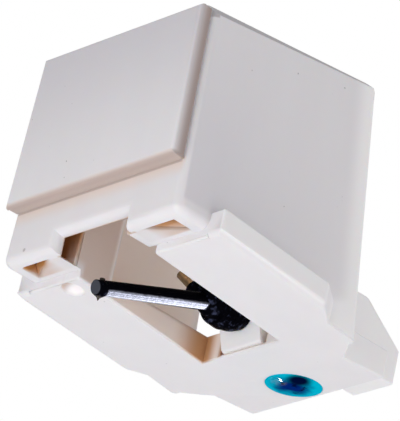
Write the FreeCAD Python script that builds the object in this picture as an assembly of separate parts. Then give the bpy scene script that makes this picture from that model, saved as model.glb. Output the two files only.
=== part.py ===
import FreeCAD
import Part
import math
import os

# Replacement stylus for a moving-magnet cartridge.
# Lengths are in millimetres. X is across, Y runs to the rear and Z is up.
# The origin is where the cartridge nose stops, on the middle plane and on the socket floor.

# Front wall and raised panel
SEAT_DEPTH = 4.65
PANEL_PROUD = 0.75
PANEL_INSET = 0.17
PANEL_BOTTOM = 2.27
PANEL_TOP_DROP = 0.35
PANEL_EDGE_RADIUS = 0.25
FRONT_WALL = 0.65
LIP_RADIUS = 0.45

# Box
BOX_LENGTH = 12.1
BOX_BOTTOM = -0.4
BOX_HALF_WIDTH = 6.2
SIDE_DRAFT = 2.6
SIDE_WALL = 1.0
ROOF_WALL = 1.0
ROOF_FRONT_HEIGHT = 10.5
ROOF_RISE = 4.4
REAR_LEAN = 5.8
REAR_CORNER_RADIUS = 0.7
CORNER_RADIUS = 0.5
REAR_EDGE_RADIUS = 0.25
BEVEL_FRONT = 0.65
BEVEL_REAR = 0.12

# Base plate
SLOT_WIDTH = 1.3
PLATE_FRONT_THICKNESS = 0.85
PLATE_FALL = 4.6
RIDGE_SETBACK = 0.75
TAIL_LENGTH = 2.95
TAIL_RISE = 4.4
FLANGE_HALF_WIDTH = 7.12
FLANGE_THICKNESS = 1.28
FLANGE_LENGTH = 6.66
FLANGE_CHAMFER = 0.25
PLATE_EDGE_RADIUS = 0.3
SHOULDER_INSET = 0.15
SHOULDER_TAPER = 1.4
NECK_TAPER = 1.15
TAIL_HALF_WIDTH = 4.5

# Window, notch and pillars
WINDOW_HALF_WIDTH = 2.63
WINDOW_LENGTH = 8.06
WINDOW_LIP = 0.5
NOTCH_HALF_WIDTH = 2.45
NOTCH_HEIGHT = 0.9
NOTCH_FLARE = 0.45
PILLAR_HEIGHT = 3.4
PILLAR_GAP = 0.95
BRIDGE_THICKNESS = 0.55
BRIDGE_INNER = 0.8
BRIDGE_REACH = 0.6
BRIDGE_NOSE_RADIUS = 0.2
POCKET_LENGTH = 1.0
POCKET_DEPTH = 1.3

# Gate mark and colour mark recess
GATE_RADIUS = 0.58
GATE_DEPTH = 0.4
GATE_X = -3.75
GATE_SETBACK = 0.62
DOT_RADIUS = 1.38
DOT_DEPTH = 0.3
DOT_DOME = 0.16
DOT_SETBACK = 1.55
DOT_CLEARANCE = 0.01

# Suspension plug
PLUG_HALF_WIDTH = 1.36
PLUG_HEIGHT = 3.9
PLUG_OVERHANG = 3.25
PLUG_OVERHANG_LIFT = 0.38
PLUG_END_HEIGHT = 2.2
PLUG_CHAMFER_LENGTH = 2.65
PLUG_EDGE_RADIUS = 0.12
PLUG_FOOT_LENGTH = 1.5
PLUG_FOOT_GAP = 0.25
PLUG_FOOT_COVER = 0.25
PLUG_SEAT_OFFSET = 0.5

# Cantilever assembly
TRACKING_ANGLE = 20.0
PIVOT_Y = 4.94
PIVOT_Z = 0.41
CANTILEVER_REACH = 8.25
CANTILEVER_RADIUS = 0.305
CANTILEVER_SOCKET = 0.4
CANTILEVER_END_CHAMFER = 0.05
DAMPER_RADIUS = 1.2
DAMPER_HALF_LENGTH = 0.95
DAMPER_BORE_RADIUS = 0.16
PIVOT_CLEARANCE = 0.03
HOLDER_NOSE_RADIUS = 0.46
HOLDER_BODY_RADIUS = 1.0
HOLDER_BODY_LENGTH = 0.35
HOLDER_CONE_LENGTH = 0.2
HOLDER_COLLAR_RADIUS = 1.24
HOLDER_COLLAR_LENGTH = 0.55
HOLDER_LIP_OFFSET = 0.5
MAGNET_SETBACK = 1.42
MAGNET_ANGLE = 45.0
MAGNET_RADIUS = 0.21
MAGNET_INNER = 0.85
MAGNET_OUTER = 2.4
ARM_RADIUS = 0.42
ARM_OUTER = 1.25

# Stylus tip
SHANK_RADIUS = 0.13
SHANK_SETBACK = 0.3
SHANK_ABOVE = 0.18
SHANK_BELOW = 0.1
TIP_LENGTH = 0.2
TIP_BASE_RADIUS = 0.1
TIP_POINT_RADIUS = 0.018
BEAD_RADIUS = 0.41

# Tie wire and its sleeve
WIRE_RADIUS = 0.07
WIRE_BORE_RADIUS = 0.25
SLEEVE_RADIUS = 0.45
SLEEVE_LENGTH = 1.7
SLEEVE_PROUD = 0.35

# Places worked out from the sizes above
PANEL_Y = -SEAT_DEPTH
WALL_Y = PANEL_Y + PANEL_PROUD
WALL_BACK_Y = WALL_Y + FRONT_WALL
PLATE_Y = WALL_BACK_Y + SLOT_WIDTH
BOX_REAR_Y = PANEL_Y + BOX_LENGTH
WINDOW_REAR_Y = PLATE_Y + WINDOW_LENGTH
RIDGE_Y = BOX_REAR_Y + RIDGE_SETBACK
TAIL_Y = RIDGE_Y + TAIL_LENGTH
PLUG_END_Y = TAIL_Y + PLUG_OVERHANG
AXIS_UP = math.radians(TRACKING_ANGLE)
REARWARD = FreeCAD.Vector(0, math.cos(AXIS_UP), math.sin(AXIS_UP))
AXIS_NORMAL = FreeCAD.Vector(0, -math.sin(AXIS_UP), math.cos(AXIS_UP))
ACROSS = FreeCAD.Vector(1, 0, 0)
PIVOT = FreeCAD.Vector(0, PIVOT_Y, PIVOT_Z)
FAR = 40.0
SAME_PLACE = 1e-4


def slope(degrees):
    return math.tan(math.radians(degrees))


def box_half_width(z):
    return BOX_HALF_WIDTH - (z - BOX_BOTTOM) * slope(SIDE_DRAFT)


def roof_height(y):
    return ROOF_FRONT_HEIGHT + (y - PANEL_Y) * slope(ROOF_RISE)


def rear_edge(z):
    return BOX_REAR_Y - z * slope(REAR_LEAN)


def panel_top(y):
    return roof_height(y) - PANEL_TOP_DROP


def underside(y):
    fall = -PLATE_FRONT_THICKNESS - (min(y, RIDGE_Y) - PLATE_Y) * slope(PLATE_FALL)
    return fall + max(0.0, y - RIDGE_Y) * slope(TAIL_RISE)


def along_axis(distance):
    return PIVOT + REARWARD * distance


def face_of(points):
    return Part.Face(Part.makePolygon(points + points[:1]))


def side_prism(profile, half_width):
    points = [FreeCAD.Vector(-half_width, y, z) for y, z in profile]
    return face_of(points).extrude(ACROSS * 2 * half_width)


def front_prism(profile, y_front, y_rear):
    points = [FreeCAD.Vector(x, y_front, z) for x, z in profile]
    return face_of(points).extrude(FreeCAD.Vector(0, y_rear - y_front, 0))


def plan_prism(profile, z_low, z_high):
    points = [FreeCAD.Vector(x, y, z_low) for x, y in profile]
    return face_of(points).extrude(FreeCAD.Vector(0, 0, z_high - z_low))


def block(x_low, x_high, y_low, y_high, z_low, z_high):
    corner = FreeCAD.Vector(x_low, y_low, z_low)
    return Part.makeBox(x_high - x_low, y_high - y_low, z_high - z_low, corner)


def drafted_block(inset, y_low, y_high, z_low, z_high):
    low = box_half_width(z_low) - inset
    high = box_half_width(z_high) - inset
    profile = [(-low, z_low), (low, z_low), (high, z_high), (-high, z_high)]
    return front_prism(profile, y_low, y_high)


def turned(profile, base):
    points = [base + REARWARD * along + AXIS_NORMAL * radius for along, radius in profile]
    return face_of(points).revolve(base, REARWARD, 360)


def rod(base, direction, radius, length):
    return Part.makeCylinder(radius, length, base, direction)


def mirrored(shape):
    return shape.mirror(FreeCAD.Vector(0, 0, 0), ACROSS)


def edges_where(shape, test):
    return [edge for edge in shape.Edges if test(edge)]


def is_upright(edge, place):
    ends = [vertex.Point for vertex in edge.Vertexes]
    if len(ends) != 2 or abs(ends[0].z - ends[1].z) < CORNER_RADIUS:
        return False
    return all(abs(point.y - place(point.z)) < SAME_PLACE for point in ends)


def outer_box():
    lean = slope(REAR_LEAN)
    fall = slope(PLATE_FALL)
    bottom_rear = (BOX_REAR_Y + lean * (PLATE_FRONT_THICKNESS - PLATE_Y * fall)) / (1 - lean * fall)
    rise = slope(ROOF_RISE)
    top_rear_z = (roof_height(0.0) + BOX_REAR_Y * rise) / (1 + lean * rise)
    profile = [(WALL_Y, BOX_BOTTOM), (PLATE_Y, BOX_BOTTOM), (PLATE_Y, underside(PLATE_Y)),
               (bottom_rear, underside(bottom_rear)), (rear_edge(top_rear_z), top_rear_z),
               (WALL_Y, roof_height(WALL_Y))]
    front = drafted_block(0.0, WALL_Y, FAR, BOX_BOTTOM, FAR)
    front_corners = edges_where(front, lambda edge: is_upright(edge, lambda z: WALL_Y))
    front = front.makeFillet(CORNER_RADIUS, front_corners)
    lip = edges_where(front, lambda edge: edge.BoundBox.ZMax < BOX_BOTTOM + CORNER_RADIUS
                      and edge.BoundBox.YMin < PLATE_Y)
    body = front.makeFillet(LIP_RADIUS, lip).fuse(drafted_block(0.0, PLATE_Y, FAR, -FAR, FAR))
    outline = side_prism(profile, FLANGE_HALF_WIDTH)
    body = body.common(outline)
    rear_corners = edges_where(body, lambda edge: is_upright(edge, rear_edge))
    body = body.makeFillet(REAR_EDGE_RADIUS, rear_corners)
    top_rear = edges_where(outline, lambda edge: abs(edge.CenterOfMass.x) < SAME_PLACE
                           and abs(edge.CenterOfMass.z - top_rear_z) < SAME_PLACE)
    return body.common(outline.makeFillet(REAR_CORNER_RADIUS, top_rear))


def roof_bevel():
    def corner(y, size):
        z = roof_height(y)
        x = box_half_width(z)
        foot = x + size * slope(SIDE_DRAFT)
        clear = x + FRONT_WALL
        profile = [(x - size, z + FRONT_WALL), (x - size, z), (foot, z - size),
                   (clear, z - size), (clear, z + FRONT_WALL)]
        return [FreeCAD.Vector(across, y, height) for across, height in profile]
    front = corner(WALL_Y, BEVEL_FRONT)
    rear = corner(BOX_REAR_Y, BEVEL_REAR)
    wires = [Part.makePolygon(points + points[:1]) for points in (front, rear)]
    return Part.makeLoft(wires, True, True)


def front_panel():
    top = panel_top(WALL_Y)
    panel = drafted_block(PANEL_INSET, PANEL_Y, WALL_Y, PANEL_BOTTOM, top)
    cover = side_prism([(PANEL_Y, PANEL_BOTTOM), (WALL_Y, PANEL_BOTTOM), (WALL_Y, top),
                        (PANEL_Y, panel_top(PANEL_Y))], FLANGE_HALF_WIDTH)
    panel = panel.common(cover)
    rim = edges_where(panel, lambda edge: all(abs(v.Point.y - PANEL_Y) < SAME_PLACE for v in edge.Vertexes))
    return panel.makeFillet(PANEL_EDGE_RADIUS, rim)


def plate_outline():
    flange_end = PLATE_Y + FLANGE_LENGTH
    shoulder = BOX_HALF_WIDTH - SHOULDER_INSET
    right = [(FLANGE_HALF_WIDTH, PLATE_Y), (FLANGE_HALF_WIDTH, flange_end),
             (shoulder, flange_end + SHOULDER_TAPER), (shoulder, BOX_REAR_Y),
             (TAIL_HALF_WIDTH, BOX_REAR_Y + NECK_TAPER), (TAIL_HALF_WIDTH, TAIL_Y)]
    left = [(-x, y) for x, y in reversed(right)]
    return right + left


def base_plate():
    slab = plan_prism(plate_outline(), -FAR, FAR)
    ends = [(PLATE_Y, underside(PLATE_Y)), (RIDGE_Y, underside(RIDGE_Y)), (TAIL_Y, underside(TAIL_Y))]
    flange_top = [(y, z + FLANGE_THICKNESS) for y, z in reversed(ends)]
    flange = slab.common(side_prism(ends + flange_top, FAR))

    def is_lower_rim(edge):
        middle = edge.CenterOfMass
        on_underside = abs(middle.z - underside(middle.y)) < SAME_PLACE
        return on_underside and abs(abs(middle.x) - FLANGE_HALF_WIDTH) < SAME_PLACE

    def is_front_rim(edge):
        return all(abs(v.Point.y - PLATE_Y) < SAME_PLACE and v.Point.z < underside(PLATE_Y) + SAME_PLACE
                   for v in edge.Vertexes)
    flange = flange.makeChamfer(FLANGE_CHAMFER, edges_where(flange, is_lower_rim))
    flange = flange.makeFillet(PLATE_EDGE_RADIUS, edges_where(flange, is_front_rim))
    floor = [(TAIL_Y, 0.0), (PLATE_Y, 0.0)]
    inner = slab.common(side_prism(ends + floor, box_half_width(BOX_BOTTOM) - SIDE_WALL / 2))
    return flange.fuse(inner)


def socket_space():
    roof_front = roof_height(WALL_BACK_Y) - ROOF_WALL
    roof_rear = roof_height(FAR) - ROOF_WALL
    space = drafted_block(SIDE_WALL, WALL_BACK_Y, FAR, -FAR, FAR)
    profile = [(WALL_BACK_Y, -FAR), (PLATE_Y, -FAR), (PLATE_Y, 0.0), (FAR, 0.0),
               (FAR, roof_rear), (WALL_BACK_Y, roof_front)]
    return space.common(side_prism(profile, FAR))


def pillars():
    outer = BOX_HALF_WIDTH - SIDE_WALL / 2
    front = WALL_BACK_Y + PILLAR_GAP
    bridge_top = BOX_BOTTOM + BRIDGE_THICKNESS
    pillar = block(WINDOW_HALF_WIDTH, outer, front, 0.0, BOX_BOTTOM, PILLAR_HEIGHT)
    bridge = block(WINDOW_HALF_WIDTH, outer, WALL_BACK_Y, PLATE_Y, BOX_BOTTOM, bridge_top)
    inner = WINDOW_HALF_WIDTH + BRIDGE_INNER
    end = [(WINDOW_HALF_WIDTH, BOX_BOTTOM), (inner, bridge_top), (WINDOW_HALF_WIDTH, bridge_top)]
    bridge = bridge.cut(front_prism(end, WALL_BACK_Y, front))
    pillar = pillar.fuse(bridge).cut(corner_pocket(inner))
    return pillar.fuse(mirrored(pillar))


def corner_pocket(inner):
    outer = BOX_HALF_WIDTH - SIDE_WALL
    tip = FreeCAD.Vector(inner, WALL_BACK_Y, BOX_BOTTOM)
    corner = FreeCAD.Vector(outer, WALL_BACK_Y, BOX_BOTTOM)
    side = FreeCAD.Vector(outer, WALL_BACK_Y + POCKET_LENGTH, BOX_BOTTOM)
    top = corner + FreeCAD.Vector(0, 0, POCKET_DEPTH)
    faces = [face_of(points) for points in ([tip, corner, side], [tip, corner, top],
                                            [corner, side, top], [side, tip, top])]
    return Part.Solid(Part.Shell(faces))


def bridge_nose():
    inner = WINDOW_HALF_WIDTH - BRIDGE_REACH
    outer = WINDOW_HALF_WIDTH + BRIDGE_NOSE_RADIUS
    nose = block(inner, outer, WALL_BACK_Y, PLATE_Y, BOX_BOTTOM, BOX_BOTTOM + BRIDGE_THICKNESS)
    tip = edges_where(nose, lambda edge: abs(edge.CenterOfMass.x - inner) < SAME_PLACE
                      and edge.CenterOfMass.y > WALL_BACK_Y + SAME_PLACE)
    return nose.makeFillet(BRIDGE_NOSE_RADIUS, tip)


def window():
    lip_top = underside(WINDOW_REAR_Y) + WINDOW_LIP + PLATE_FRONT_THICKNESS
    wide = WINDOW_HALF_WIDTH - lip_top
    hole = block(-WINDOW_HALF_WIDTH, WINDOW_HALF_WIDTH, WALL_BACK_Y, WINDOW_REAR_Y, -FAR, 0.0)
    profile = [(-WINDOW_HALF_WIDTH, lip_top), (WINDOW_HALF_WIDTH, lip_top), (wide, 0.0), (-wide, 0.0)]
    bevel = front_prism(profile, 0.0, WINDOW_REAR_Y)
    return hole.fuse(bevel)


def plug_pocket():
    half = PLUG_HALF_WIDTH + PLUG_FOOT_GAP
    front = WINDOW_REAR_Y - WINDOW_LIP
    rear = WINDOW_REAR_Y + PLUG_FOOT_LENGTH
    return block(-half, half, front, rear, foot_bottom(), 0.0)


def foot_bottom():
    return underside(WINDOW_REAR_Y) + PLUG_FOOT_COVER


def dot_frame():
    y = TAIL_Y - DOT_SETBACK
    tilt = math.radians(TAIL_RISE)
    centre = FreeCAD.Vector(0, y, underside(y))
    return centre, FreeCAD.Vector(0, -math.sin(tilt), math.cos(tilt))


def notch():
    half, top = NOTCH_HALF_WIDTH, BOX_BOTTOM + NOTCH_HEIGHT
    wide, high, behind = half + NOTCH_FLARE, top + NOTCH_FLARE, WALL_Y + NOTCH_FLARE
    flare = block(-wide, wide, PANEL_Y, behind, -FAR, high)
    rounds = [rod(FreeCAD.Vector(x, behind, -FAR), FreeCAD.Vector(0, 0, 1), NOTCH_FLARE, 2 * FAR)
              for x in (-wide, wide)]
    rounds.append(rod(FreeCAD.Vector(-FAR, behind, high), ACROSS, NOTCH_FLARE, 2 * FAR))
    flare = flare.cut(rounds)
    return flare.fuse(block(-half, half, PANEL_Y, WALL_BACK_Y, -FAR, top))


def gate_mark():
    y = PLATE_Y + GATE_SETBACK
    ball = (GATE_RADIUS ** 2 + GATE_DEPTH ** 2) / (2 * GATE_DEPTH)
    return Part.makeSphere(ball, FreeCAD.Vector(GATE_X, y, underside(y) - ball + GATE_DEPTH))


def make_housing():
    shell = outer_box().fuse(base_plate()).cut(socket_space())
    shell = shell.fuse([front_panel(), pillars()])
    dot_centre, dot_up = dot_frame()
    dot = rod(dot_centre - dot_up * DOT_DEPTH, dot_up, DOT_RADIUS, 2 * DOT_DEPTH)
    shell = shell.cut([notch(), window(), plug_pocket(), gate_mark(), dot])
    shell = shell.fuse(bridge_nose()).removeSplitter()
    return shell.cut([roof_bevel(), mirrored(roof_bevel())])


def make_colour_dot():
    centre, up = dot_frame()
    radius = DOT_RADIUS - DOT_CLEARANCE
    ball = (radius ** 2 + DOT_DOME ** 2) / (2 * DOT_DOME)
    fill = rod(centre - up * DOT_DEPTH, up, radius, 2 * DOT_DEPTH)
    dome = Part.makeSphere(ball, centre + up * (ball - DOT_DOME))
    return fill.common(dome)


def make_suspension_plug():
    seat = along_axis(PLUG_SEAT_OFFSET)
    lean = -slope(TRACKING_ANGLE)
    foot_y = WINDOW_REAR_Y + PLUG_FOOT_LENGTH
    foot_front = seat.y + (foot_bottom() - seat.z) * lean
    top_front = seat.y + (PLUG_HEIGHT - seat.z) * lean
    profile = [(foot_front, foot_bottom()), (foot_y, foot_bottom()), (foot_y, 0.0),
               (TAIL_Y, 0.0), (TAIL_Y, PLUG_OVERHANG_LIFT), (PLUG_END_Y, PLUG_OVERHANG_LIFT),
               (PLUG_END_Y, PLUG_END_HEIGHT), (PLUG_END_Y - PLUG_CHAMFER_LENGTH, PLUG_HEIGHT),
               (top_front, PLUG_HEIGHT)]
    plug = side_prism(profile, PLUG_HALF_WIDTH)
    top_edges = edges_where(plug, lambda edge: edge.CenterOfMass.z > PLUG_HEIGHT - SAME_PLACE
                            and abs(edge.CenterOfMass.x) > PLUG_HALF_WIDTH - SAME_PLACE)
    plug = plug.makeFillet(PLUG_EDGE_RADIUS, top_edges)
    cup = Part.makeSphere(DAMPER_RADIUS + PIVOT_CLEARANCE, PIVOT)
    bore = rod(PIVOT, REARWARD, WIRE_BORE_RADIUS, FAR)
    sleeve_seat = rod(along_axis(sleeve_start()), REARWARD, SLEEVE_RADIUS, FAR)
    return plug.cut([cup, bore, sleeve_seat]).removeSplitter()


def sleeve_start():
    chamfer_slope = (PLUG_HEIGHT - PLUG_END_HEIGHT) / PLUG_CHAMFER_LENGTH
    rise_to_end = PLUG_END_HEIGHT + (PLUG_END_Y - PIVOT_Y) * chamfer_slope - PIVOT_Z
    exit_run = rise_to_end / (slope(TRACKING_ANGLE) + chamfer_slope)
    return exit_run / math.cos(AXIS_UP) + SLEEVE_PROUD - SLEEVE_LENGTH


def make_wire_sleeve():
    base = along_axis(sleeve_start())
    tube = rod(base, REARWARD, SLEEVE_RADIUS, SLEEVE_LENGTH)
    return tube.cut(rod(base, REARWARD, WIRE_RADIUS, SLEEVE_LENGTH))


def make_tie_wire():
    return rod(PIVOT, REARWARD, WIRE_RADIUS, sleeve_start() + SLEEVE_LENGTH)


def make_damper():
    ball = Part.makeSphere(DAMPER_RADIUS, PIVOT)
    start = along_axis(-DAMPER_HALF_LENGTH)
    zone = rod(start, REARWARD, DAMPER_RADIUS, 2 * DAMPER_HALF_LENGTH)
    return ball.common(zone).cut(rod(start, REARWARD, DAMPER_BORE_RADIUS, 2 * DAMPER_HALF_LENGTH))


def magnet_direction(side):
    turn = math.radians(MAGNET_ANGLE)
    return ACROSS * side * math.sin(turn) + AXIS_NORMAL * math.cos(turn)


def make_magnet(side):
    direction = magnet_direction(side)
    start = along_axis(-MAGNET_SETBACK) + direction * MAGNET_INNER
    return rod(start, direction, MAGNET_RADIUS, MAGNET_OUTER - MAGNET_INNER)


def rod_end():
    return holder_front() + CANTILEVER_SOCKET


def holder_front():
    return -HOLDER_LIP_OFFSET - HOLDER_COLLAR_LENGTH - HOLDER_BODY_LENGTH - HOLDER_CONE_LENGTH


def make_magnet_holder():
    front = holder_front()
    cone_end = front + HOLDER_CONE_LENGTH
    collar_start = -HOLDER_LIP_OFFSET - HOLDER_COLLAR_LENGTH
    profile = [(front, 0.0), (front, HOLDER_NOSE_RADIUS), (cone_end, HOLDER_BODY_RADIUS),
               (collar_start, HOLDER_BODY_RADIUS), (collar_start, HOLDER_COLLAR_RADIUS),
               (-HOLDER_LIP_OFFSET, HOLDER_COLLAR_RADIUS), (-HOLDER_LIP_OFFSET, 0.0)]
    holder = turned(profile, PIVOT)
    base = along_axis(-MAGNET_SETBACK)
    arms = [rod(base, magnet_direction(side), ARM_RADIUS, ARM_OUTER) for side in (-1, 1)]
    holder = holder.fuse(arms)
    cup = Part.makeSphere(DAMPER_RADIUS + PIVOT_CLEARANCE, PIVOT)
    socket = rod(along_axis(-CANTILEVER_REACH), REARWARD, CANTILEVER_RADIUS, CANTILEVER_REACH + rod_end())
    return holder.cut([cup, socket, make_magnet(-1), make_magnet(1)]).removeSplitter()


def shank_axis():
    front = along_axis(-CANTILEVER_REACH)
    y = front.y + SHANK_SETBACK
    return FreeCAD.Vector(0, y, front.z + SHANK_SETBACK * slope(TRACKING_ANGLE))


def shank_heights():
    middle = shank_axis().z
    reach = CANTILEVER_RADIUS / math.cos(AXIS_UP)
    return middle - reach - SHANK_BELOW, middle + reach + SHANK_ABOVE


def make_shank():
    low, high = shank_heights()
    axis = shank_axis()
    return Part.makeCylinder(SHANK_RADIUS, high - low, FreeCAD.Vector(0, axis.y, low))


def make_diamond_tip():
    low = shank_heights()[0]
    base = FreeCAD.Vector(0, shank_axis().y, low - TIP_LENGTH)
    flank = math.atan2(TIP_BASE_RADIUS - TIP_POINT_RADIUS, TIP_LENGTH - TIP_POINT_RADIUS)
    rise = TIP_POINT_RADIUS * (1 - math.sin(flank))
    touch = TIP_POINT_RADIUS * math.cos(flank)
    middle = -(math.pi / 2 + flank) / 2
    mid_point = (TIP_POINT_RADIUS * math.cos(middle), TIP_POINT_RADIUS * (1 + math.sin(middle)))

    def at(radius, height):
        return base + FreeCAD.Vector(radius, 0, height)
    edges = [Part.Arc(at(0, 0), at(*mid_point), at(touch, rise)).toShape(),
             Part.LineSegment(at(touch, rise), at(TIP_BASE_RADIUS, TIP_LENGTH)).toShape(),
             Part.LineSegment(at(TIP_BASE_RADIUS, TIP_LENGTH), at(0, TIP_LENGTH)).toShape(),
             Part.LineSegment(at(0, TIP_LENGTH), at(0, 0)).toShape()]
    return Part.Face(Part.Wire(edges)).revolve(base, FreeCAD.Vector(0, 0, 1), 360)


def make_cantilever():
    length = CANTILEVER_REACH + rod_end()
    shaft = rod(along_axis(-CANTILEVER_REACH), REARWARD, CANTILEVER_RADIUS, length)
    front_rim = edges_where(shaft, lambda edge: edge.Closed and
                            (edge.CenterOfMass - along_axis(-CANTILEVER_REACH)).Length < SAME_PLACE)
    shaft = shaft.makeChamfer(CANTILEVER_END_CHAMFER, front_rim)
    return shaft.cut(make_shank())


def make_adhesive_bead():
    start = -CANTILEVER_REACH - BEAD_RADIUS
    shaft = rod(along_axis(start), REARWARD, CANTILEVER_RADIUS, CANTILEVER_REACH)
    return Part.makeSphere(BEAD_RADIUS, shank_axis()).cut([shaft, make_shank()])


def main():
    nodes = {
        "housing": make_housing(),
        "colour_dot": make_colour_dot(),
        "suspension_plug": make_suspension_plug(),
        "wire_sleeve": make_wire_sleeve(),
        "tie_wire": make_tie_wire(),
        "damper": make_damper(),
        "magnet_holder": make_magnet_holder(),
        "left_magnet": make_magnet(-1),
        "right_magnet": make_magnet(1),
        "cantilever": make_cantilever(),
        "stylus_shank": make_shank(),
        "diamond_tip": make_diamond_tip(),
        "adhesive_bead": make_adhesive_bead(),
    }
    os.makedirs("parts", exist_ok=True)
    for name, shape in nodes.items():
        solid = shape.Solids[0] if len(shape.Solids) == 1 else shape
        box = shape.BoundBox
        print(name, len(shape.Solids), shape.isValid(), round(shape.Volume, 4),
              [round(v, 3) for v in (box.XMin, box.XMax, box.YMin, box.YMax, box.ZMin, box.ZMax)])
        solid.exportStep("parts/" + name + ".step")


main()
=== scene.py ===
import math

import bmesh
import bpy
import numpy as np
from bpy.props import FloatProperty, FloatVectorProperty, PointerProperty
from mathutils import Matrix, Vector


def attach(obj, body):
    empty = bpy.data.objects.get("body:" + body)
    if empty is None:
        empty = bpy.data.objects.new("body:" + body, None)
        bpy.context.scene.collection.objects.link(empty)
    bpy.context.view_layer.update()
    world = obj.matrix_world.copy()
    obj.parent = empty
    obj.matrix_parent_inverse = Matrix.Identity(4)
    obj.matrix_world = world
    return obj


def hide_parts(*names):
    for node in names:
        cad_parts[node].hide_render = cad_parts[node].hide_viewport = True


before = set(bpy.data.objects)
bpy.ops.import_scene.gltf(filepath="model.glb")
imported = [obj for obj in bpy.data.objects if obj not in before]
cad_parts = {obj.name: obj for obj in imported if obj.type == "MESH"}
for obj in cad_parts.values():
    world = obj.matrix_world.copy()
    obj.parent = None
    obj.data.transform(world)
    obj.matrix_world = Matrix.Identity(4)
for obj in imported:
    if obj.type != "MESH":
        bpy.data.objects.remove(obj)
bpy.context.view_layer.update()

bl_info = {
    "name": "Turntable Stylus Finish",
    "version": (1, 0, 0),
    "blender": (4, 5, 0),
    "location": "3D View > Sidebar > Stylus",
    "description": "Gives the turntable stylus its moulded, lacquered and polished finishes",
    "category": "Object",
}

MM = 0.001

# The moulding's own lines, in millimetres, which the shading follows
PLATE_FRONT = -1.95
PLATE_THICKNESS = 0.85
PLATE_FALL = math.tan(math.radians(4.6))
PANEL_FRONT = -4.65
ROOF_RISE = math.tan(math.radians(4.4))
PANEL_HALF_WIDTH = 6.03
BOX_HALF_WIDTH = 6.2
BOX_BOTTOM = -0.4
ROOF_FRONT = 10.5
BOX_REAR = 7.45
REAR_LEAN = math.tan(math.radians(5.8))
SIDE_DRAFT = math.tan(math.radians(2.6))
WINDOW_HALF_WIDTH = 2.63
WINDOW_REAR = 6.11
PLUG_GAP = 1.5
GATE_X = -3.75
GATE_Y = -1.33
RIDGE_Y = 8.2
RIDGE_Z = -1.667
TAIL_ANGLE = math.radians(4.4)
FRONT_MARK = (-4.59, -3.9, 0.11)
DOT_Y = 9.6
DOT_RADIUS = 1.365
DOT_DEPTH = 0.29
DOT_DOME = 0.08
DOT_RINGS = 22
DOT_COLUMNS = 72
DOT_POOL = (-0.1, 9.55, -1.56)
DOT_DARK_PATCH = (0.75, 9.25, -1.58)
DOT_CLEAR_PATCH = (-0.25, 8.85, -1.6)

# The cantilever's axis, which slopes up to the rear through its pivot in the damper. Places along it are
# counted from the pivot, in millimetres, and are below 0 in front of it.
TRACKING_ANGLE = math.radians(20.0)
PIVOT = np.array([0.0, 4.94, 0.41])
AXIS_REAR = np.array([0.0, math.cos(TRACKING_ANGLE), math.sin(TRACKING_ANGLE)])
AXIS_UP = np.array([0.0, -math.sin(TRACKING_ANGLE), math.cos(TRACKING_ANGLE)])
ROD_FRONT = -8.25
ROD_REAR = -1.2
ROD_GROWTH = (1.18, 1.4)
ROD_LIFT = 0.045
HOLDER_PLACES = (-1.6, -1.4, -1.05, -0.5)
HOLDER_SHARES = (1.0, 0.62, 0.78, 0.94)
MAGNETS_Y = 3.606
MAGNETS_Z = -0.076
LEFT_MAGNET_DOWN = (-0.627, -0.219, -0.743)

# Triangles that turn by less than FLAT are joined. Outer edges that turn by more than SHARP and are longer
# than SHORTEST_EDGE, in millimetres, are rounded.
FLAT = math.radians(0.6)
SHARP = math.radians(32)
SHORTEST_EDGE = 0.45


class Shade:
    """One value in a finish. Arithmetic on it adds Math nodes."""

    def __init__(self, finish, socket):
        self.finish = finish
        self.socket = socket

    def maths(self, operation, first, second=0.0):
        return self.finish.node("ShaderNodeMath", {"operation": operation}, {0: first, 1: second})

    def __add__(self, other):
        return self.maths("ADD", self, other)

    def __radd__(self, other):
        return self.maths("ADD", other, self)

    def __sub__(self, other):
        return self.maths("SUBTRACT", self, other)

    def __rsub__(self, other):
        return self.maths("SUBTRACT", other, self)

    def __mul__(self, other):
        return self.maths("MULTIPLY", self, other)

    def __rmul__(self, other):
        return self.maths("MULTIPLY", other, self)

    def __pow__(self, other):
        return self.maths("POWER", self, other)

    def __abs__(self):
        return self.maths("ABSOLUTE", self)

    def step(self, low, high):
        """Goes smoothly from 0 at low to 1 at high."""
        return self.finish.node("ShaderNodeMapRange", {"interpolation_type": "SMOOTHSTEP"},
                                {"Value": self, "From Min": low, "From Max": high})

    def output(self, name):
        return Shade(self.finish, self.socket.node.outputs[name])


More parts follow.
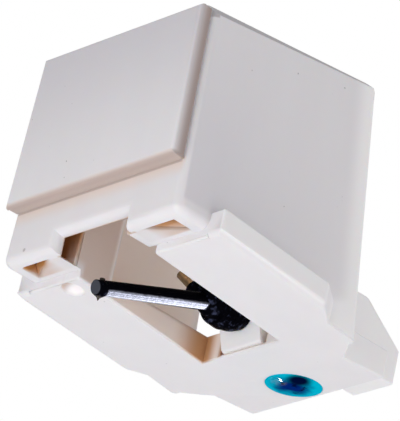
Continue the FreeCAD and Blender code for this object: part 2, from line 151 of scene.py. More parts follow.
class Finish:
    """A procedural material that is written as expressions on Shade values."""

    def __init__(self, name):
        self.material = bpy.data.materials.new(name)
        self.material.use_nodes = True
        self.tree = self.material.node_tree
        self.tree.nodes.clear()

    def node(self, kind, settings, sockets, output=0):
        made = self.tree.nodes.new(kind)
        for key, value in settings.items():
            setattr(made, key, value)
        for key, value in sockets.items():
            if isinstance(value, Shade):
                self.tree.links.new(value.socket, made.inputs[key])
            else:
                made.inputs[key].default_value = value
        return Shade(self, made.outputs[output]) if made.outputs else None

    def place(self):
        """The point on the piece, in millimetres of the model's own frame."""
        point = self.node("ShaderNodeTexCoord", {}, {}, "Object")
        return self.node("ShaderNodeVectorMath", {"operation": "SCALE"}, {0: point, "Scale": 1 / MM})

    def parts(self, place):
        split = self.node("ShaderNodeSeparateXYZ", {}, {0: place})
        return split.output("X"), split.output("Y"), split.output("Z")

    def stretched(self, place, factors):
        return self.node("ShaderNodeVectorMath", {"operation": "MULTIPLY"}, {0: place, 1: factors})

    def distance(self, place, point):
        return self.node("ShaderNodeVectorMath", {"operation": "DISTANCE"}, {0: place, 1: point}, "Value")

    def noise(self, place, scale, detail=2.0, roughness=0.5):
        return self.node("ShaderNodeTexNoise", {}, {"Vector": place, "Scale": scale, "Detail": detail,
                                                    "Roughness": roughness})

    def mix(self, factor, low, high):
        return self.node("ShaderNodeMix", {"data_type": "RGBA"}, {0: factor, 6: low, 7: high}, 2)

    def bump(self, height, distance):
        return self.node("ShaderNodeBump", {}, {"Height": height, "Distance": distance * MM, "Strength": 1.0})

    def surface(self, sockets):
        shader = self.node("ShaderNodeBsdfPrincipled", {}, sockets)
        self.node("ShaderNodeOutputMaterial", {}, {"Surface": shader})
        return self.material


def rgba(colour, share=1.0):
    return (*(share * part for part in colour), 1.0)


def moulded_ivory(name, colours, painted_shading):
    """Ivory plastic with a fine moulded skin, faint flow streaks, dark specks and its piece's own painted
    light and shade.
    """
    finish = Finish(name)
    place = finish.place()
    streaks = finish.noise(finish.stretched(place, (0.35, 0.35, 0.08)), 1.6, 3.0)
    body = finish.mix(streaks, rgba(colours.ivory_shade), rgba(colours.ivory))
    # Lays the piece's painted light and shade over the ivory.
    body = painted_shading(finish, place, body, colours)
    specks = finish.noise(place, 3.1, 1.0).step(0.80, 0.84)
    mark = finish.distance(place, FRONT_MARK).step(0.13, 0.05)
    body = finish.mix(0.5 * specks + 0.45 * mark, body, rgba(colours.speck_and_edge_shade))
    skin = finish.noise(place, 9.0, 4.0, 0.6)
    swell = finish.noise(place, 0.9, 1.0)
    return finish.surface({
        "Base Color": body, "Roughness": 0.34 + 0.16 * skin,
        "Normal": finish.bump(skin + 3.0 * swell, 0.004),
        "IOR": 1.5, "Specular IOR Level": 0.4,
        "Subsurface Weight": 0.22, "Subsurface Radius": (1.0, 0.55, 0.3), "Subsurface Scale": 0.8 * MM})


def plug_painted_light(finish, place, body, colours):
    # Painted light: the whole plug is mixed almost wholly to the pale colour so that it looks lit from the
    # rear.
    return finish.mix(0.9, body, rgba(colours.pale))


def housing_painted_shading(finish, place, body, colours):
    """Painted light and shade, each laid over the ones before it: cool shade on the sides, highlights on the
    pale edges, warm shade in recesses and brown shade in corners.
    """
    x, y, z = finish.parts(place)
    from_window = abs(abs(x) - WINDOW_HALF_WIDTH)
    # Painted warm shade inside the moulding, with paler painted light on the box's inner walls.
    inner_wall = abs(x).step(2.8, 4.8) * z.step(0.2, 1.2)
    warm = finish.mix(inner_wall, rgba(colours.recess), rgba(colours.inner_wall_painted_light))
    # Painted shade on the inner faces of the pillars beside the window.
    pillar = from_window.step(0.06, 0.02) * y.step(0.1, -0.1)
    warm = finish.mix(0.35 * pillar, warm, rgba(colours.groove_shade))
    # Painted highlight along the rear edge of each pillar.
    pillar_edge = from_window.step(0.09, 0.05) * abs(y).step(0.34, 0.08) * z.step(-0.6, 0.0)
    below = below_panel(x, y, z)
    # Every layer is painted light or shade: shade on the sides and panel, highlights, recess shade, shade
    # below the panel, brown corner shade, pillar-edge highlights, shade beside the panel and on the roof's
    # edge bevel.
    layers = ((0.7 * low_side(x, y, z) + 0.8 * panel_head(y, z), rgba(colours.side_shade)),
              (painted_highlights(x, y, z), rgba(colours.pale)),
              (recess_depth(x, y, z), warm),
              (0.9 * below, rgba(colours.recess)),
              (0.17 * below, rgba(colours.groove_shade)),
              (corner_painted_shade(x, y, z), rgba(colours.deep_painted_shade)),
              (0.8 * pillar_edge, rgba(colours.pale)),
              (panel_groove(x, y, z), rgba(colours.groove_shade)),
              (0.45 * roof_edge(x, y, z), rgba(colours.speck_and_edge_shade)))
    for share, colour in layers:
        body = finish.mix(share, body, colour)
    return body


def recess_depth(x, y, z):
    """How much painted warm shade a point gets, by how far inside the moulding it is: 0 on the outer skin and
    1 inside the socket and window.
    """
    across = abs(x) + z * SIDE_DRAFT
    inside = across.step(5.6, 5.25) * under_roof(y, z).step(9.75, 9.52)
    depth = above_underside(y, z).step(0.0, 0.25) * inside * y.step(-3.5, -3.25) * y.step(7.3, 6.6)
    bridge = abs(x).step(1.9, 2.1) * y.step(-1.6, -1.9) * z.step(0.2, -0.4)
    lit_corner = x.step(1.7, 1.85) * y.step(5.85, 6.05) * z.step(0.4, 0.1)
    gate = from_gate(x, y).step(0.7, 0.5) * z.step(0.3, 0.0)
    return depth * (1.0 - bridge) * (1.0 - 0.8 * lit_corner) * (1.0 - gate)


def from_gate(x, y):
    return ((x - GATE_X) * (x - GATE_X) + (y - GATE_Y) * (y - GATE_Y)) ** 0.5


def below_panel(x, y, z):
    """The lower face of the raised panel and the strip of wall below it, which get the same painted warm
    shade.
    """
    height = z.step(1.3, 2.3) * z.step(2.52, 2.3)
    return height * y.step(-4.9, -4.5) * y.step(-3.6, -3.75) * abs(x).step(5.95, 5.75)


def panel_head(y, z):
    """Painted shade on the raised panel's face, from nothing near its foot to 1 at the roof."""
    return y.step(-4.3, -4.4) * z.step(3.0, 11.5)


def painted_highlights(x, y, z):
    """Painted highlights on the palest places: the flange, the rear of the gate mark, the box's rear edges and
    the tail's sides.
    """
    flange = abs(x).step(6.95, 7.08) * z.step(1.4, 1.2)
    above = above_underside(y, z)
    gate = from_gate(x, y).step(0.62, 0.5) * above.step(0.0, 0.1) * y.step(-1.4, -1.0) * z.step(0.3, 0.0)
    off_plate = above.step(0.04, 0.12)
    from_rear = BOX_REAR - z * REAR_LEAN - y
    near_rear = (from_rear - 0.8 * z.step(0.3, -0.5)).step(1.5, 0.3) * from_rear.step(0.0, 0.06)
    rear = near_rear * abs(x).step(5.2, 5.5) * off_plate
    above_tail = z - RIDGE_Z - (y - RIDGE_Y) * math.tan(TAIL_ANGLE)
    tail_side = off_plate * y.step(7.6, 7.8) * above_tail.step(0.04, 0.12)
    return 0.6 * flange + gate + rear + 0.5 * tail_side


def low_side(x, y, z):
    """Painted shade on the outer sides of the box: 0.15 high up at the rear and up to 1 low down at the front.
    """
    on_side = abs(from_side(x, z, BOX_HALF_WIDTH)).step(0.08, 0.03) * z.step(0.2, 0.5)
    return on_side * (0.15 + 0.85 * y.step(7.0, -4.0) * z.step(11.0, 0.0))


def from_side(x, z, half_width):
    """How far inwards a point is from a drafted side that has this half width at the foot of the box."""
    return half_width - abs(x) - (z - BOX_BOTTOM) * SIDE_DRAFT


def above_underside(y, z):
    return z + PLATE_THICKNESS + (y - PLATE_FRONT) * PLATE_FALL


def under_roof(y, z):
    return z - (y - PANEL_FRONT) * ROOF_RISE


def corner_painted_shade(x, y, z):
    """Painted brown shade in deep corners: slots before the pillars, window corner, gaps beside the plug, lip
    and gate mark.
    """
    aside = abs(x)
    above = above_underside(y, z)
    in_slot = aside.step(2.5, 2.7) * aside.step(5.35, 5.2) * y.step(-2.15, -2.3) * y.step(-3.3, -3.22)
    slot = in_slot * (z.step(-0.7, -0.05) + 0.6 * y.step(-2.6, -3.2)) * z.step(4.5, 1.5)
    pocket_inner_end = 1.0 - 0.75 * z.step(0.25, -0.05) * aside.step(4.4, 3.2)
    slot_foot = 1.0 - 0.55 * aside.step(3.6, 3.2) * z.step(1.5, 0.0)
    from_corner = ((1.3 * (x + WINDOW_HALF_WIDTH)) ** 2.0 + (0.5 * (y - WINDOW_REAR)) ** 2.0) ** 0.5
    window = from_corner.step(1.1, 0.2) * z.step(0.3, -0.2) * above.step(0.0, 0.12)
    in_gap = abs(aside - PLUG_GAP).step(0.2, 0.1) * y.step(5.5, 5.7) * y.step(7.75, 7.65)
    gap = in_gap * z.step(0.2, 0.0) * above.step(0.05, 0.2) * (0.75 - 0.45 * x.step(-0.5, 0.5))
    lip = y.step(-3.42, -3.27) * y.step(-3.2, -3.24) * aside.step(2.8, 2.6) * z.step(1.3, 0.9)
    gate = from_gate(x, y).step(0.64, 0.54) * above.step(-0.01, 0.12) * y.step(-1.15, -1.6) * z.step(0.3, 0.0)
    return 0.95 * slot * pocket_inner_end * slot_foot + 0.9 * window + gap + 0.45 * gate + 0.5 * lip


def roof_edge(x, y, z):
    """The narrow bevel between the roof and the sides, which catches little light."""
    below_roof = ROOF_FRONT - under_roof(y, z)
    off_faces = below_roof.step(0.01, 0.04) * from_side(x, z, BOX_HALF_WIDTH).step(0.01, 0.04)
    return off_faces * below_roof.step(0.8, 0.7) * y.step(-3.9, -3.8)


def panel_groove(x, y, z):
    """Shade on the raised panel's sides, which grows towards the wall behind it, and on its lower face."""
    on_side = abs(from_side(x, z, PANEL_HALF_WIDTH)).step(0.09, 0.03)
    side = on_side * z.step(2.1, 2.3) * y.step(-4.76, -4.05)
    on_lower_face = z.step(2.52, 2.3) * z.step(2.12, 2.2) * abs(x).step(6.1, 6.0) * y.step(-4.85, -4.5)
    lower = on_lower_face * (0.68 - 0.14 * y.step(-4.4, -4.0))
    return (0.9 * side + lower * (1.0 - side)) * y.step(-3.85, -3.9)


def black_gloss(name, colours, sheen, roughness, grain, bump, polish_and_painted_sheen):
    """Black with slight smears and ripples, and polished places that mirror a little blue-white light; their
    blue-white metallic colour is partly painted sheen.
    """
    finish = Finish(name)
    place = finish.place()
    ripple = finish.noise(place, grain, 3.0, 0.6)
    smear = finish.noise(place, 2.2, 2.0)
    shine = polish_and_painted_sheen(finish, place)
    black = finish.mix(smear, rgba(colours.black), rgba(colours.black_smear))
    return finish.surface({
        "Base Color": finish.mix(shine, black, rgba(sheen)), "Metallic": shine,
        "Roughness": roughness + 0.08 * smear, "Normal": finish.bump(ripple, bump),
        "IOR": 1.03})


def patchy_polish_and_painted_sheen(finish, place):
    """Loose polished patches, whose blue-white metallic colour is partly painted sheen."""
    return 0.26 * finish.noise(place, 3.2, 3.0).step(0.53, 0.72)


def lower_polish_and_painted_sheen(finish, place):
    """Partly real polish and partly painted sheen: a band along the cantilever's lower side, placed where the
    camera sees the lamps mirrored, and its duller front end.

    A point x across and a above the axis lies -0.31 x - 0.95 a below the axis as the camera sees it.
    """
    x, y, z = finish.parts(place)
    above_axis = (z - PIVOT[2]) * math.cos(TRACKING_ANGLE) - (y - PIVOT[1]) * math.sin(TRACKING_ANGLE)
    along = (y - PIVOT[1]) * math.cos(TRACKING_ANGLE) + (z - PIVOT[2]) * math.sin(TRACKING_ANGLE)
    lower = -0.31 * x - 0.95 * above_axis
    worn = finish.noise(finish.stretched(place, (1.6, 1.0, 1.6)), 4.5, 3.0)
    band = (lower + 0.08 * (worn - 0.5)).step(-0.06, 0.09) * lower.step(0.36, 0.29)
    from_end = along - ROD_FRONT
    return band * (0.68 + 0.3 * worn) * from_end.step(0.1, 0.15) + 0.2 * from_end.step(0.05, 0.01)


def lacquer(name, colours):
    """Thick blue lacquer: pale at the thin rim and dark where it pools, with a lumpy gloss."""
    finish = Finish(name)
    place = finish.place()
    from_middle = finish.distance(place, DOT_POOL)
    cloud = finish.noise(place, 1.5, 3.0)
    pool = (from_middle + 0.9 * cloud).step(0.8, 1.75)
    body = finish.mix(pool, rgba(colours.lacquer_pool), rgba(colours.lacquer_rim))
    blots = finish.noise(place, 2.9, 2.0).step(0.52, 0.66) * from_middle.step(1.1, 0.5)
    dark_patch = finish.distance(place, DOT_DARK_PATCH).step(0.8, 0.3)
    for share in (blots, dark_patch):
        body = finish.mix(share, body, rgba(colours.lacquer_pool, 0.2))
    lumps = finish.noise(place, 2.6, 2.0)
    in_front = finish.distance(place, DOT_CLEAR_PATCH).step(0.5, 0.3)
    clear_coat = in_front * finish.noise(place, 5.0, 2.0).step(0.42, 0.5)
    return finish.surface({
        "Base Color": body, "Roughness": 0.06 + 0.06 * cloud,
        "Normal": finish.bump(lumps, 0.06), "IOR": 1.01,
        "Coat Weight": 0.8 * clear_coat, "Coat Roughness": 0.04})


def even_shade(x, y, z):
    return 0.0


def magnet_shade(x, y, z):
    """Painted shadow on the lower front side of the left magnet, behind the window's rim: 0 above its axis and
    0.8 below.
    """
    right, rear, up = LEFT_MAGNET_DOWN
    below_axis = right * x + rear * (y - MAGNETS_Y) + up * (z - MAGNETS_Z)
    return 0.8 * below_axis.step(-0.08, 0.05)


def drawn_metal(name, colour, metallic, roughness, shade=even_shade):
    """Metal with drawn lines and a mottled skin, and painted shade where the shade is more than 0."""
    finish = Finish(name)
    place = finish.place()
    mottle = finish.noise(place, 6.0, 3.0)
    lines = finish.noise(finish.stretched(place, (14.0, 2.0, 14.0)), 2.0, 2.0)
    clean = (0.5 * mottle + 0.5 * lines).step(0.35, 0.6)
    body = finish.mix(clean, rgba(colour, 0.4), rgba(colour))
    body = finish.mix(shade(*finish.parts(place)), body, rgba(colour, 0.15))
    return finish.surface({
        "Base Color": body, "Metallic": metallic, "Roughness": roughness + 0.2 * lines,
        "Normal": finish.bump(lines, 0.01)})


def dark_stone(name, colour):
    """Dark diamond with faint growth bands."""
    finish = Finish(name)
    place = finish.place()
    bands = finish.noise(place, 9.0, 2.0)
    body = finish.mix(bands, rgba(colour, 0.8), rgba(colour))
    return finish.surface({
        "Base Color": body, "Roughness": 0.04 + 0.06 * bands, "IOR": 2.42, "Specular IOR Level": 0.1})


def put_mesh(name, points, faces):
    """Makes an object at the origin from an array of points in millimetres and a list of faces."""
    mesh = bpy.data.meshes.new(name)
    mesh.from_pydata((points * MM).tolist(), [], faces)
    mesh.update()
    piece = bpy.data.objects.new(name, mesh)
    bpy.context.scene.collection.objects.link(piece)
    return piece


def merged_node(node, name):
    """A copy of a CAD node's triangles with the points that share a place made one."""
    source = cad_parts[node].data
    points = np.empty(len(source.vertices) * 3)
    source.vertices.foreach_get("co", points)
    corners = np.empty(len(source.loops), dtype=np.int64)
    source.loops.foreach_get("vertex_index", corners)
    points = points.reshape(-1, 3) / MM
    keys = np.round(points, 4)
    unique, place = np.unique(keys, axis=0, return_inverse=True)
    triangles = place.reshape(-1)[corners].reshape(-1, 3)
    whole = ((triangles[:, 0] != triangles[:, 1]) & (triangles[:, 1] != triangles[:, 2])
             & (triangles[:, 2] != triangles[:, 0]))
    return put_mesh(name, unique, triangles[whole].tolist())


def edge_facts(mesh):
    """For each edge, as arrays: its length in millimetres, the angle between its faces, and if it stands out.

    An edge that runs along d in its first face, with face normals m and n, stands out where m . (d x n) < 0.
    """
    ends = np.empty(len(mesh.edges) * 2, dtype=np.int64)
    mesh.edges.foreach_get("vertices", ends)
    points = np.empty(len(mesh.vertices) * 3)
    mesh.vertices.foreach_get("co", points)
    normals = np.empty(len(mesh.polygons) * 3)
    mesh.polygons.foreach_get("normal", normals)
    sides = np.empty(len(mesh.polygons), dtype=np.int64)
    mesh.polygons.foreach_get("loop_total", sides)
    edge_of_loop = np.empty(len(mesh.loops), dtype=np.int64)
    mesh.loops.foreach_get("edge_index", edge_of_loop)
    start_of_loop = np.empty(len(mesh.loops), dtype=np.int64)
    mesh.loops.foreach_get("vertex_index", start_of_loop)
    face_of_loop = np.repeat(np.arange(len(sides)), sides)
    loops = np.argsort(edge_of_loop, kind="stable").reshape(-1, 2)
    first, second = normals.reshape(-1, 3)[face_of_loop[loops]].transpose(1, 0, 2)
    points = points.reshape(-1, 3)
    start = start_of_loop[loops[:, 0]]
    along = points[ends.reshape(-1, 2).sum(axis=1) - start] - points[start]
    angle = np.arccos(np.clip(np.sum(first * second, axis=1), -1.0, 1.0))
    stands_out = np.sum(first * np.cross(along, second), axis=1) < 0.0
    return np.linalg.norm(along, axis=1) / MM, angle, stands_out


def soften(piece, width):
    """Joins flat triangles, and rounds the long sharp outer edges by a width in mm, unless that is 0."""
    work = bmesh.new()
    work.from_mesh(piece.data)
    bmesh.ops.dissolve_limit(work, angle_limit=FLAT, verts=work.verts, edges=work.edges)
    work.to_mesh(piece.data)
    work.free()
    piece.data.shade_smooth()
    piece.data.set_sharp_from_angle(angle=SHARP)
    if not width:
        return
    length, angle, stands_out = edge_facts(piece.data)
    weight = ((angle > SHARP) & (length > SHORTEST_EDGE) & stands_out).astype(np.float32)
    piece.data.attributes.new("bevel_weight_edge", "FLOAT", "EDGE").data.foreach_set("value", weight)
    round_edges = piece.modifiers.new("round_edges", "BEVEL")
    round_edges.limit_method = "WEIGHT"
    round_edges.width = width * MM
    round_edges.segments = 3
    round_edges.use_clamp_overlap = False
    round_edges.harden_normals = True


def turned_grid(rows, columns):
    """Faces of rows of points that close on themselves, with a single point at each end."""
    first = np.arange(rows - 1)[:, None] * columns
    here = np.arange(columns)
    after = (here + 1) % columns
    quads = np.stack([first + here, first + after, first + columns + after, first + columns + here], axis=-1)
    start = rows * columns
    head = np.stack([after, here, np.full(columns, start)], axis=-1)
    last = (rows - 1) * columns
    tail = np.stack([last + here, last + after, np.full(columns, start + 1)], axis=-1)
    return quads.reshape(-1, 4).tolist() + head.tolist() + tail.tolist()


def axis_parts(piece):
    """Each point's place along the cantilever's axis, and its offsets across and above the axis."""
    points = np.empty(len(piece.data.vertices) * 3)
    piece.data.vertices.foreach_get("co", points)
    from_pivot = points.reshape(-1, 3) / MM - PIVOT
    return from_pivot @ AXIS_REAR, from_pivot[:, 0], from_pivot @ AXIS_UP


def set_axis_parts(piece, along, across, above):
    points = (PIVOT + along[:, None] * AXIS_REAR + above[:, None] * AXIS_UP) * MM
    points[:, 0] += across * MM
    piece.data.vertices.foreach_set("co", points.reshape(-1))
    piece.data.update()


def thicken(piece, places, factors, lift):
    """Scales the rod about its axis by factors that change along it, and lifts it a little."""
    along, across, above = axis_parts(piece)
    factor = np.interp(along, places, factors)
    set_axis_parts(piece, along, across * factor, above * factor + lift)


def taper_below(piece, places, factors):
    """Scales what lies below the axis by factors that change along it, and leaves what lies above.

    The change sets in at 0.2 mm above the axis and is full at 0.3 mm below it.
    """
    along, across, above = axis_parts(piece)
    share = np.interp(above, (-0.3, 0.2), (1.0, 0.0))
    factor = 1.0 + (np.interp(along, places, factors) - 1.0) * share
    set_axis_parts(piece, along, across * factor, above * factor)


def dress(node, material):
    """Gives a CAD node a finish."""
    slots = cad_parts[node].data.materials
    slots.clear()
    slots.append(material)


def place_piece(piece, material, body, node):
    piece.data.materials.append(material)
    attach(piece, body)
    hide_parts(node)


def colour_property(name, description, default):
    return FloatVectorProperty(name=name, description=description, subtype="COLOR", default=default,
                               min=0.0, max=1.0)


def power_property(name, description, default):
    return FloatProperty(name=name, description=description, default=default, min=0.0, max=20.0, unit="POWER")


class StylusColours(bpy.types.PropertyGroup):
    ivory: colour_property("Ivory", "Pale plastic of the moulding", (0.86, 0.838, 0.845))
    ivory_shade: colour_property("Ivory streak", "Slightly darker flow streaks", (0.815, 0.79, 0.80))
    # Painted shade on the sides and on the upper part of the raised panel.
    side_shade: colour_property("Side shade", "Cool tint of the sides and panel", (0.70, 0.672, 0.705))
    # Painted highlights on the outer edges and pillar edges, and painted light over the whole plug.
    pale: colour_property("Pale edge", "Palest plastic, at the outer edges", (0.985, 0.965, 0.96))
    # Painted warm shade inside the moulding and below the raised panel.
    recess: colour_property("Recess", "Warm tint inside the moulding", (0.95, 0.82, 0.74))
    # Painted light on the box's inner walls, paler than the shade around them.
    inner_wall_painted_light: colour_property("Recess wall", "Paler tint of the box's inner walls", (1.0, 0.90, 0.83))
    # Painted brown shade in deep corners.
    deep_painted_shade: colour_property("Deep recess", "Brown tint of deep corners", (0.52, 0.24, 0.075))
    # Painted shade beside the raised panel, on the pillars' inner faces and below the panel.
    groove_shade: colour_property("Groove", "Shade beside the raised panel", (0.36, 0.27, 0.24))
    # Real dark specks and a scuff mark, and also painted shade on the roof's edge bevel.
    speck_and_edge_shade: colour_property("Speck", "Stray dark specks in the plastic", (0.16, 0.14, 0.15))
    lacquer_rim: colour_property("Lacquer rim", "Thin lacquer at the rim", (0.0, 0.50, 0.68))
    lacquer_pool: colour_property("Lacquer pool", "Thick lacquer in the middle", (0.0, 0.020, 0.17))
    bronze: colour_property("Bronze", "Lacquer on the magnets", (0.66, 0.44, 0.22))
    black: colour_property("Black", "Black of the rod, holder and rubber", (0.0008, 0.0008, 0.002))
    black_smear: colour_property("Black smear", "Slight smears on the black", (0.003, 0.003, 0.005))
    # Painted sheen: the blue-white metallic colour of the band where the cantilever mirrors the lamps.
    rod_sheen: colour_property("Rod sheen", "Polished band on the cantilever", (0.33, 0.345, 0.42))
    # Painted sheen: the blue-white metallic colour of the polished patches on the holder, damper and bead.
    holder_sheen: colour_property("Holder sheen", "Polished patches on the holder", (0.20, 0.23, 0.42))
    shank: colour_property("Shank", "Metal that holds the diamond", (0.05, 0.038, 0.03))
    diamond: colour_property("Diamond", "Dark stone of the tip", (0.05, 0.035, 0.025))
    brass: colour_property("Brass", "Crimped sleeve", (0.72, 0.55, 0.28))
    steel: colour_property("Steel", "Tie wire", (0.55, 0.55, 0.56))


class StylusShapes(bpy.types.PropertyGroup):
    edge_round: FloatProperty(name="Edge rounding", description="Width of the rounded edges, in millimetres",
                              default=0.12, min=0.0, max=0.3)
    lacquer_ripple: FloatProperty(name="Lacquer ripple", description="Height of the lacquer's ripples, in mm",
                                  default=0.010, min=0.0, max=0.05)


class StylusStage(bpy.types.PropertyGroup):
    world_light: FloatProperty(name="World light", description="Strength of the even light", default=0.5,
                               min=0.0, max=2.0)
    arc_power: power_property("Arc power", "Each lamp on the arc behind and below", 0.10)
    front_power: power_property("Front power", "Lamp before and below", 0.0195)
    below_power: power_property("Lower power", "Lamp below", 0.22)
    side_power: power_property("Side power", "Lamp at the right", 0.36)
    rear_power: power_property("Rear power", "Lamp behind", 0.15)
    glint_power: power_property("Glint power", "Small lamp mirrored in the lacquer", 0.02)
    top_power: power_property("Top power", "Lamp above", 0.12)
    floor_drop: FloatProperty(name="Floor drop", description="How far the floor lies below the stylus",
                              default=0.5, min=0.1, max=5.0, unit="LENGTH")


def settings():
    return bpy.context.scene.stylus_colours, bpy.context.scene.stylus_shapes, bpy.context.scene.stylus_stage


class STYLUS_OT_housing(bpy.types.Operator):
    """Moulded housing with softened edges"""
    bl_idname = "stylus.housing"
    bl_label = "Housing"

    def execute(self, context):
        colours, shapes, _ = settings()
        shell = merged_node("housing", "housing_shell")
        soften(shell, shapes.edge_round)
        ivory = moulded_ivory("moulded_ivory", colours, housing_painted_shading)
        place_piece(shell, ivory, "housing", "housing")
        return {"FINISHED"}


class STYLUS_OT_plug(bpy.types.Operator):
    """Suspension plug with softened edges"""
    bl_idname = "stylus.plug"
    bl_label = "Suspension plug"

    def execute(self, context):
        colours, shapes, _ = settings()
        plug = merged_node("suspension_plug", "plug_body")
        soften(plug, shapes.edge_round)
        ivory = moulded_ivory("plug_ivory", colours, plug_painted_light)
        place_piece(plug, ivory, "housing", "suspension_plug")
        return {"FINISHED"}


class STYLUS_OT_lacquer(bpy.types.Operator):
    """Drop of blue lacquer in its round recess"""
    bl_idname = "stylus.lacquer"
    bl_label = "Lacquer dot"

    def execute(self, context):
        colours, shapes, _ = settings()
        dot = lacquer_drop(shapes.lacquer_ripple)
        place_piece(dot, lacquer("blue_lacquer", colours), "housing", "colour_dot")
        return {"FINISHED"}


def lacquer_drop(ripple):
    """A drop on a disc, with r from 0 in the middle to 1 at the rim, and x and y across it in millimetres.

    height = (1 - r^2) (dome + ripple (sin(5x + 1) sin(6y) + 0.6 sin(9y - 4x))), and the rim goes down the wall
    of the recess to its floor.
    """
    centre = np.array([0.0, DOT_Y, RIDGE_Z + (DOT_Y - RIDGE_Y) * math.tan(TAIL_ANGLE)])
    inward = np.array([0.0, -math.sin(TAIL_ANGLE), math.cos(TAIL_ANGLE)])
    across = np.array([1.0, 0.0, 0.0])
    along = np.cross(inward, across)
    share = np.concatenate([np.linspace(0.06, 1.0, DOT_RINGS), [1.0, 1.0]])
    sink = np.concatenate([np.zeros(DOT_RINGS), [0.5, 1.0]]) * DOT_DEPTH
    angle = np.linspace(0.0, 2 * math.pi, DOT_COLUMNS, endpoint=False)
    x = DOT_RADIUS * share[:, None] * np.cos(angle)
    y = DOT_RADIUS * share[:, None] * np.sin(angle)
    inside = 1.0 - share[:, None] ** 2
    lump = np.sin(5.0 * x + 1.0) * np.sin(6.0 * y) + 0.6 * np.sin(9.0 * y - 4.0 * x)
    height = DOT_DOME * inside + ripple * lump * inside
    level = sink[:, None] - height
    rows = centre + x[..., None] * across + y[..., None] * along + level[..., None] * inward
    ends = np.stack([centre - inward * (DOT_DOME + ripple * 0.1), centre + inward * DOT_DEPTH])
    points = np.concatenate([rows.reshape(-1, 3), ends])
    piece = put_mesh("lacquer_drop", points, turned_grid(*level.shape))
    piece.data.shade_smooth()
    return piece


class STYLUS_OT_suspension(bpy.types.Operator):
    """Rubber damper and the magnet holder in front of it"""
    bl_idname = "stylus.suspension"
    bl_label = "Damper and holder"

    def execute(self, context):
        colours, _, _ = settings()
        dress("damper", black_gloss("damper_rubber", colours, colours.holder_sheen, 0.20, 3.0, 0.10,
                                    patchy_polish_and_painted_sheen))
        holder = merged_node("magnet_holder", "holder_body")
        taper_below(holder, HOLDER_PLACES, HOLDER_SHARES)
        soften(holder, 0.0)
        black = black_gloss("holder_black", colours, colours.holder_sheen, 0.20, 4.0, 0.10, patchy_polish_and_painted_sheen)
        place_piece(holder, black, "cantilever", "magnet_holder")
        return {"FINISHED"}


class STYLUS_OT_magnets(bpy.types.Operator):
    """Bronze magnet rods"""
    bl_idname = "stylus.magnets"
    bl_label = "Magnets"

    def execute(self, context):
        colours, _, _ = settings()
        bronze = drawn_metal("magnet_bronze", colours.bronze, 0.45, 0.3, magnet_shade)
        for node in ("left_magnet", "right_magnet"):
            dress(node, bronze)
        return {"FINISHED"}


class STYLUS_OT_cantilever(bpy.types.Operator):
    """Polished cantilever with its diamond, shank and bead of adhesive"""
    bl_idname = "stylus.cantilever"
    bl_label = "Cantilever"

    def execute(self, context):
        colours, _, _ = settings()
        rod = merged_node("cantilever", "cantilever_rod")
        thicken(rod, (ROD_FRONT, ROD_REAR), ROD_GROWTH, ROD_LIFT)
        soften(rod, 0.0)
        black = black_gloss("cantilever_black", colours, colours.rod_sheen, 0.10, 6.0, 0.004, lower_polish_and_painted_sheen)
        place_piece(rod, black, "cantilever", "cantilever")
        bead = merged_node("adhesive_bead", "adhesive_ring")
        soften(bead, 0.0)
        black = black_gloss("adhesive_black", colours, colours.holder_sheen, 0.20, 5.0, 0.03, patchy_polish_and_painted_sheen)
        place_piece(bead, black, "cantilever", "adhesive_bead")
        dress("stylus_shank", drawn_metal("shank_metal", colours.shank, 0.6, 0.35))
        dress("diamond_tip", dark_stone("diamond", colours.diamond))
        return {"FINISHED"}


class STYLUS_OT_wire(bpy.types.Operator):
    """Tie wire and its crimped sleeve"""
    bl_idname = "stylus.wire"
    bl_label = "Tie wire and sleeve"

    def execute(self, context):
        colours, _, _ = settings()
        dress("wire_sleeve", drawn_metal("sleeve_brass", colours.brass, 1.0, 0.25))
        dress("tie_wire", drawn_metal("wire_steel", colours.steel, 1.0, 0.2))
        return {"FINISHED"}


CAMERA_RIGHT = (0.66478435, 0.72102924, 0.19539347)
CAMERA_UP = (0.21526757, -0.43536068, 0.87414012)
CAMERA_BACK = (0.71534722, -0.53905279, -0.44463518)
CAMERA_PLACE = (165.706, -122.834, -98.985)
FOCAL_PIXELS = 5000.0
LONG_SIDE_PIXELS = 421.0
SENSOR = 36.0
LAMP_AIM = (0.0, 0.004, 0.003)
LAMP_DISTANCE = 0.45
LAMP_SIZE = (0.3, 0.3)
LAMP_COLOUR = (0.96, 0.965, 1.0)
ARC_START = (-0.153, 0.876, -0.458)
ARC_LAMPS = ((-84, 0.7), (-54, 0.8), (-24, 1.0), (6, 1.0), (36, 1.0))
ARC_LAMP_SIZE = (0.25, 0.035)
FLOOR_HALF_WIDTH = 2000.0
FLOOR_POINTS = 5
FLOOR_TONES = ((0.86, 0.86, 0.86), (0.9, 0.9, 0.9))
SKY_COLOUR = (0.985, 0.985, 1.0)


def add_camera():
    camera = bpy.data.objects.new("camera", bpy.data.cameras.new("camera"))
    bpy.context.scene.collection.objects.link(camera)
    turn = Matrix((CAMERA_RIGHT, CAMERA_UP, CAMERA_BACK)).transposed().to_4x4()
    camera.matrix_world = Matrix.Translation(Vector(CAMERA_PLACE) * MM) @ turn
    camera.data.sensor_width = SENSOR
    camera.data.lens = SENSOR * FOCAL_PIXELS / LONG_SIDE_PIXELS
    camera.data.clip_start = 0.01
    camera.data.clip_end = 10.0
    bpy.context.scene.camera = camera


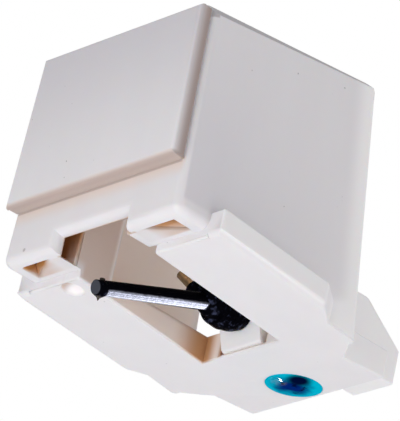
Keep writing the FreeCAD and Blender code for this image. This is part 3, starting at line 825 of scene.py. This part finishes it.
def add_lamp(name, direction, distance, size, power, along=(1.0, 0.0, 0.0)):
    """A rectangular lamp that faces the stylus from a direction, with its long side along another."""
    lamp = bpy.data.lights.new(name, "AREA")
    lamp.shape = "RECTANGLE"
    lamp.size, lamp.size_y = size
    lamp.energy = power
    lamp.color = LAMP_COLOUR
    holder = bpy.data.objects.new(name, lamp)
    bpy.context.scene.collection.objects.link(holder)
    towards = Vector(direction).normalized()
    across = (Vector(along) - towards * towards.dot(along)).normalized()
    turn = Matrix((across, towards.cross(across), towards)).transposed().to_4x4()
    holder.matrix_world = Matrix.Translation(Vector(LAMP_AIM) + towards * distance) @ turn
    holder.visible_camera = False


def add_arc(power):
    """Lamps on an arc about the cantilever's axis, which together draw a broad streak along its lower side."""
    axis = Vector(AXIS_REAR)
    for number, (degrees, share) in enumerate(ARC_LAMPS):
        towards = Matrix.Rotation(math.radians(degrees), 3, axis) @ Vector(ARC_START)
        add_lamp(f"arc_lamp_{number}", towards, LAMP_DISTANCE, ARC_LAMP_SIZE, share * power,
                 axis.cross(towards))


def white_to_camera(tree, surface, output):
    """Shows plain white to the camera and keeps the surface's own light for every other ray."""
    path = tree.nodes.new("ShaderNodeLightPath")
    white = tree.nodes.new("ShaderNodeEmission" if output == "OUTPUT_MATERIAL" else "ShaderNodeBackground")
    mix = tree.nodes.new("ShaderNodeMixShader")
    tree.links.new(path.outputs["Is Camera Ray"], mix.inputs[0])
    tree.links.new(surface.outputs[0], mix.inputs[1])
    tree.links.new(white.outputs[0], mix.inputs[2])
    white.inputs[0].default_value = (1.0, 1.0, 1.0, 1.0)
    white.inputs[1].default_value = 1.0
    end = next(node for node in tree.nodes if node.type == output)
    tree.links.new(mix.outputs[0], end.inputs["Surface"])


class STYLUS_OT_stage(bpy.types.Operator):
    """Pale floor, soft lamps, white background and camera"""
    bl_idname = "stylus.stage"
    bl_label = "Stage"

    def execute(self, context):
        _, _, stage = settings()
        scene = context.scene
        scene.view_settings.view_transform = "Standard"
        world = bpy.data.worlds.new("studio")
        world.use_nodes = True
        scene.world = world
        sky = next(node for node in world.node_tree.nodes if node.type == "BACKGROUND")
        sky.inputs["Color"].default_value = rgba(SKY_COLOUR)
        sky.inputs["Strength"].default_value = stage.world_light
        white_to_camera(world.node_tree, sky, "OUTPUT_WORLD")
        self.add_floor(stage.floor_drop)
        add_arc(stage.arc_power)
        add_lamp("front_lamp", (0.07, -0.8, -0.58), 0.07, (0.04, 0.04), stage.front_power)
        add_lamp("below_lamp", (0.15, 0.05, -1.0), LAMP_DISTANCE, LAMP_SIZE, stage.below_power)
        add_lamp("side_lamp", (0.85, 0.1, -0.5), LAMP_DISTANCE, LAMP_SIZE, stage.side_power)
        add_lamp("rear_lamp", (0.25, 1.0, 0.1), LAMP_DISTANCE, LAMP_SIZE, stage.rear_power)
        add_lamp("glint_lamp", (-0.715, 0.55, -0.431), LAMP_DISTANCE, (0.016, 0.012), stage.glint_power)
        add_lamp("top_lamp", (0.2, 0.2, 1.0), LAMP_DISTANCE, LAMP_SIZE, stage.top_power)
        add_camera()
        return {"FINISHED"}

    def add_floor(self, drop):
        """A square sheet: x and y run over two metres each way at one height."""
        side = np.linspace(-FLOOR_HALF_WIDTH, FLOOR_HALF_WIDTH, FLOOR_POINTS)
        x, y = np.meshgrid(side, side, indexing="ij")
        points = np.stack([x, y, np.full_like(x, -drop / MM)], axis=-1).reshape(-1, 3)
        first = np.arange(FLOOR_POINTS - 1)
        corner = (first[:, None] * FLOOR_POINTS + first).reshape(-1, 1)
        floor = put_mesh("floor", points, (corner + np.array([0, FLOOR_POINTS, FLOOR_POINTS + 1, 1])).tolist())
        finish = Finish("pale_floor")
        low, high = FLOOR_TONES
        cloud = finish.noise(finish.place(), 0.01, 2.0)
        finish.surface({"Base Color": finish.mix(cloud, rgba(low), rgba(high)), "Roughness": 0.6})
        surface = next(node for node in finish.tree.nodes if node.type == "BSDF_PRINCIPLED")
        white_to_camera(finish.tree, surface, "OUTPUT_MATERIAL")
        floor.data.materials.append(finish.material)


PIECE_OPERATORS = (STYLUS_OT_housing, STYLUS_OT_plug, STYLUS_OT_lacquer, STYLUS_OT_suspension,
                   STYLUS_OT_magnets, STYLUS_OT_cantilever, STYLUS_OT_wire, STYLUS_OT_stage)


class STYLUS_PT_panel(bpy.types.Panel):
    """Lists the pieces of the stylus and their settings"""
    bl_label = "Turntable stylus"
    bl_idname = "STYLUS_PT_panel"
    bl_space_type = "VIEW_3D"
    bl_region_type = "UI"
    bl_category = "Stylus"

    def draw(self, context):
        for operator in PIECE_OPERATORS:
            self.layout.operator(operator.bl_idname)
        for group in settings():
            for name in group.__annotations__:
                self.layout.prop(group, name)


GROUPS = {"stylus_colours": StylusColours, "stylus_shapes": StylusShapes, "stylus_stage": StylusStage}


def register():
    for name, group in GROUPS.items():
        bpy.utils.register_class(group)
        setattr(bpy.types.Scene, name, PointerProperty(type=group))
    for made in (*PIECE_OPERATORS, STYLUS_PT_panel):
        bpy.utils.register_class(made)


def unregister():
    for made in (STYLUS_PT_panel, *reversed(PIECE_OPERATORS)):
        bpy.utils.unregister_class(made)
    for name, group in GROUPS.items():
        delattr(bpy.types.Scene, name)
        bpy.utils.unregister_class(group)


def main():
    register()
    bpy.ops.stylus.housing()
    bpy.ops.stylus.plug()
    bpy.ops.stylus.lacquer()
    bpy.ops.stylus.suspension()
    bpy.ops.stylus.magnets()
    bpy.ops.stylus.cantilever()
    bpy.ops.stylus.wire()
    bpy.ops.stylus.stage()


if __name__ == "__main__":
    main()
